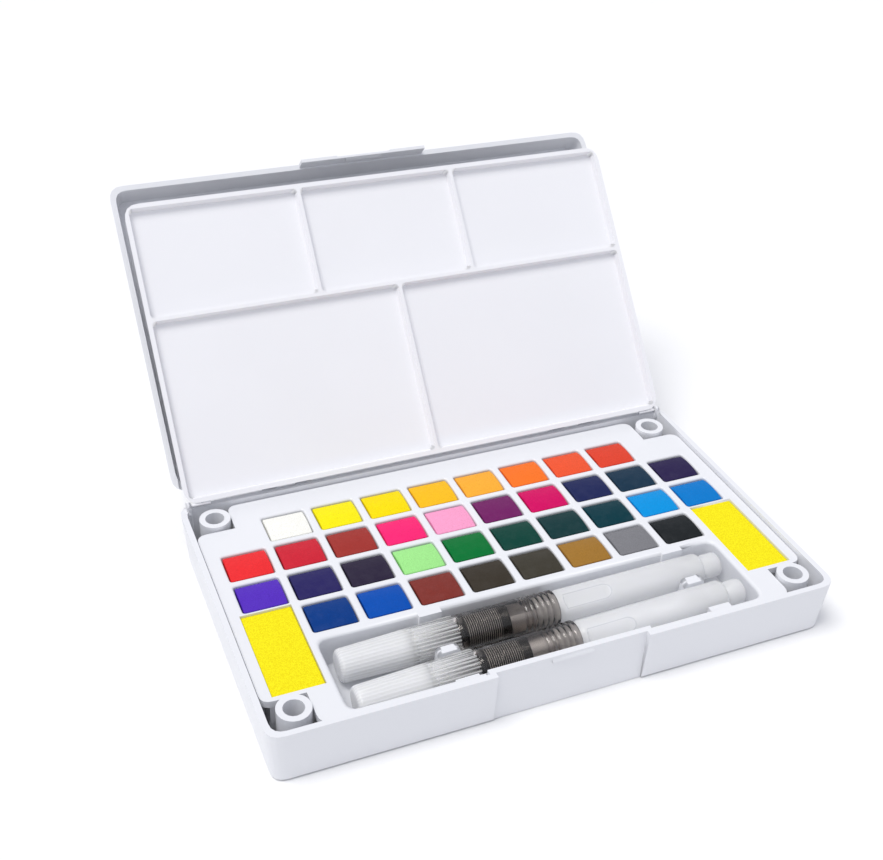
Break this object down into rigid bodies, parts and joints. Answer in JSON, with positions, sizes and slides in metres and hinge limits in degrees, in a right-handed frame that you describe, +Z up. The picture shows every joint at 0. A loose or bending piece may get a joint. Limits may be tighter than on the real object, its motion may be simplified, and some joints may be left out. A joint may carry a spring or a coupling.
{
  "type": "watercolour paint box",
  "caption": "Hinged watercolour paint box with an opening lid and mixing palette, a lift-out tray of paint cakes, sponge blocks and capped water brushes lying in a bay.",
  "frame": {"origin": "centre of the flat underside of the base, measured over the box footprint", "axes": "+X to the right along the hinge, +Y from the latch side to the hinge side, +Z up"},
  "size_m": [0.235, 0.2469, 0.1316],
  "materials": {
    "white_plastic": "white moulded, satin gloss",
    "palette_plastic": "white moulded, smooth",
    "pin_metal": "plain steel wire",
    "sponge": "open-cell yellow foam",
    "cap_plastic": "frosted translucent, fluted",
    "grip_plastic": "smoky transparent",
    "feed_plastic": "black",
    "barrel_plastic": "milky translucent, soft",
    "tuft_hair": "pale synthetic hair",
    "paint_1_1": "dry paint cake, slightly grainy",
    "paint_1_2": "dry paint cake, slightly grainy",
    "paint_1_3": "dry paint cake, slightly grainy",
    "paint_1_4": "dry paint cake, slightly grainy",
    "paint_1_5": "dry paint cake, slightly grainy",
    "paint_1_6": "dry paint cake, slightly grainy",
    "paint_1_7": "dry paint cake, slightly grainy",
    "paint_1_8": "dry paint cake, slightly grainy",
    "paint_2_0": "dry paint cake, slightly grainy",
    "paint_2_1": "dry paint cake, slightly grainy",
    "paint_2_2": "dry paint cake, slightly grainy",
    "paint_2_3": "dry paint cake, slightly grainy",
    "paint_2_4": "dry paint cake, slightly grainy",
    "paint_2_5": "dry paint cake, slightly grainy",
    "paint_2_6": "dry paint cake, slightly grainy",
    "paint_2_7": "dry paint cake, slightly grainy",
    "paint_2_8": "dry paint cake, slightly grainy",
    "paint_2_9": "dry paint cake, slightly grainy",
    "paint_3_0": "dry paint cake, slightly grainy",
    "paint_3_1": "dry paint cake, slightly grainy",
    "paint_3_2": "dry paint cake, slightly grainy",
    "paint_3_3": "dry paint cake, slightly grainy",
    "paint_3_4": "dry paint cake, slightly grainy",
    "paint_3_5": "dry paint cake, slightly grainy",
    "paint_3_6": "dry paint cake, slightly grainy",
    "paint_3_7": "dry paint cake, slightly grainy",
    "paint_3_8": "dry paint cake, slightly grainy",
    "paint_3_9": "dry paint cake, slightly grainy",
    "paint_4_1": "dry paint cake, slightly grainy",
    "paint_4_2": "dry paint cake, slightly grainy",
    "paint_4_3": "dry paint cake, slightly grainy",
    "paint_4_4": "dry paint cake, slightly grainy",
    "paint_4_5": "dry paint cake, slightly grainy",
    "paint_4_6": "dry paint cake, slightly grainy",
    "paint_4_7": "dry paint cake, slightly grainy",
    "paint_4_8": "dry paint cake, slightly grainy"
  },
  "bodies": {
    "base": {"base_shell": "white_plastic", "left_hinge_pin": "pin_metal", "right_hinge_pin": "pin_metal"},
    "lid": {"lid_shell": "white_plastic"},
    "palette_leaf": {"palette": "palette_plastic"},
    "tray": {"insert_tray": "white_plastic", "cake_1_1": "paint_1_1", "cake_1_2": "paint_1_2", "cake_1_3": "paint_1_3", "cake_1_4": "paint_1_4", "cake_1_5": "paint_1_5", "cake_1_6": "paint_1_6", "cake_1_7": "paint_1_7", "cake_1_8": "paint_1_8", "cake_2_0": "paint_2_0", "cake_2_1": "paint_2_1", "cake_2_2": "paint_2_2", "cake_2_3": "paint_2_3", "cake_2_4": "paint_2_4", "cake_2_5": "paint_2_5", "cake_2_6": "paint_2_6", "cake_2_7": "paint_2_7", "cake_2_8": "paint_2_8", "cake_2_9": "paint_2_9", "cake_3_0": "paint_3_0", "cake_3_1": "paint_3_1", "cake_3_2": "paint_3_2", "cake_3_3": "paint_3_3", "cake_3_4": "paint_3_4", "cake_3_5": "paint_3_5", "cake_3_6": "paint_3_6", "cake_3_7": "paint_3_7", "cake_3_8": "paint_3_8", "cake_3_9": "paint_3_9", "cake_4_1": "paint_4_1", "cake_4_2": "paint_4_2", "cake_4_3": "paint_4_3", "cake_4_4": "paint_4_4", "cake_4_5": "paint_4_5", "cake_4_6": "paint_4_6", "cake_4_7": "paint_4_7", "cake_4_8": "paint_4_8"},
    "left_sponge_block": {"left_sponge": "sponge"},
    "right_sponge_block": {"right_sponge": "sponge"},
    "rear_brush": {"rear_brush_grip": "grip_plastic", "rear_brush_feed": "feed_plastic", "rear_brush_tuft": "tuft_hair"},
    "rear_cap": {"rear_brush_cap": "cap_plastic"},
    "rear_barrel": {"rear_brush_barrel": "barrel_plastic", "rear_brush_tail_plug": "barrel_plastic"},
    "front_brush": {"front_brush_grip": "grip_plastic", "front_brush_feed": "feed_plastic", "front_brush_tuft": "tuft_hair"},
    "front_cap": {"front_brush_cap": "cap_plastic"},
    "front_barrel": {"front_brush_barrel": "barrel_plastic", "front_brush_tail_plug": "barrel_plastic"}
  },
  "joints": [
    {"name": "lid_hinge", "type": "hinge", "parent": "base", "child": "lid", "pos_m": [0, 0.0732, 0.02415], "axis": [-1, 0, 0], "range_deg": [-133.33, 0]},
    {"name": "palette_hinge", "type": "hinge", "parent": "base", "child": "palette_leaf", "pos_m": [0, 0.0665, 0.0256], "axis": [-1, 0, 0], "range_deg": [-130.6, 0]},
    {"name": "tray_lift", "type": "slide", "parent": "base", "child": "tray", "axis": [0, 0, 1], "range_m": [0, 0.03]},
    {"name": "left_sponge_lift", "type": "slide", "parent": "tray", "child": "left_sponge_block", "axis": [0, 0, 1], "range_m": [0, 0.015]},
    {"name": "right_sponge_lift", "type": "slide", "parent": "tray", "child": "right_sponge_block", "axis": [0, 0, 1], "range_m": [0, 0.015]},
    {"name": "rear_brush_lift", "type": "slide", "parent": "tray", "child": "rear_brush", "axis": [0, 0, 1], "range_m": [0, 0.018]},
    {"name": "rear_cap_pull", "type": "slide", "parent": "rear_brush", "child": "rear_cap", "axis": [-0.9999, -0.0131, 0], "range_m": [0, 0.004]},
    {"name": "rear_barrel_twist", "type": "hinge", "parent": "rear_brush", "child": "rear_barrel", "pos_m": [0, -0.0348, 0.016], "axis": [0.9999, 0.0131, 0], "range_deg": [0, 360]},
    {"name": "front_brush_lift", "type": "slide", "parent": "tray", "child": "front_brush", "axis": [0, 0, 1], "range_m": [0, 0.018]},
    {"name": "front_cap_pull", "type": "slide", "parent": "front_brush", "child": "front_cap", "axis": [-0.9997, -0.0262, 0], "range_m": [0, 0.004]},
    {"name": "front_barrel_twist", "type": "hinge", "parent": "front_brush", "child": "front_barrel", "pos_m": [0, -0.0537, 0.016], "axis": [0.9997, 0.0262, 0], "range_deg": [0, 360]}
  ],
  "couplings": [
    {"joint": "palette_hinge", "follows": "lid_hinge", "ratio": 0.9795}
  ]
}
